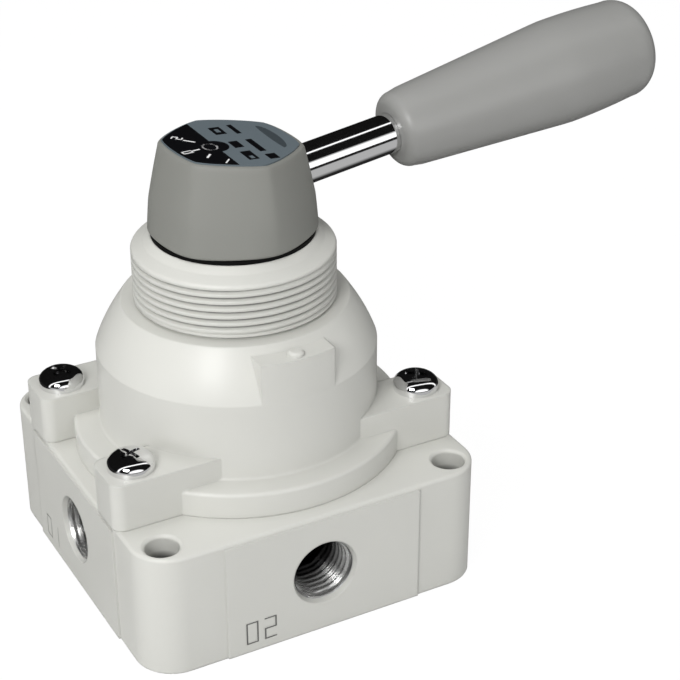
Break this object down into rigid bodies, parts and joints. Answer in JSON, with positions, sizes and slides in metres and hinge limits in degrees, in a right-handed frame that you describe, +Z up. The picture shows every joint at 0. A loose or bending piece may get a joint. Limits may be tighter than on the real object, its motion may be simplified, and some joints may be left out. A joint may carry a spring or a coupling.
{
  "type": "hand lever air valve",
  "caption": "Manual rotary air valve with a square cast base, tapped side ports, threaded panel neck, hexagonal hub and side lever with a tapered grip.",
  "frame": {"origin": "centre of the base underside", "axes": "+X along the centred lever, +Y across the base, +Z up the spindle"},
  "size_m": [0.1323, 0.074, 0.1024],
  "materials": {
    "painted_casting": "painted",
    "hub_plastic": "matte",
    "grip_plastic": "matte",
    "chrome": "polished",
    "steel": "brushed",
    "label_sheet": "satin",
    "rubber": "matte",
    "acetal": "satin",
    "brass": "brushed"
  },
  "bodies": {
    "valve_body": {"base_block": "painted_casting", "bonnet": "painted_casting", "bonnet_screws": "chrome", "body_o_ring": "rubber", "seat_seal": "acetal", "spindle_bush": "brass", "detent_plate": "steel", "detent_plate_pins": "steel", "stop_pin": "steel", "thrust_washer": "acetal", "dust_seal": "rubber"},
    "lever": {"rotor_disc": "acetal", "pressure_spring": "steel", "spindle": "steel", "spindle_o_ring": "rubber", "detent_spring": "steel", "lever_hub": "hub_plastic", "hub_screw": "steel", "hub_washer": "steel", "name_plate": "label_sheet", "lever_rod": "chrome", "grip": "grip_plastic", "grip_insert": "brass"},
    "detent": {"detent_ball": "steel"}
  },
  "joints": [
    {"name": "lever_turn", "type": "hinge", "parent": "valve_body", "child": "lever", "pos_m": [0, 0, 0], "axis": [0, 0, 1], "range_deg": [-45, 45]},
    {"name": "detent_lift", "type": "slide", "parent": "lever", "child": "detent", "axis": [0, 0, 1], "range_m": [0, 0.0012], "deforming": ["detent_spring"]}
  ]
}
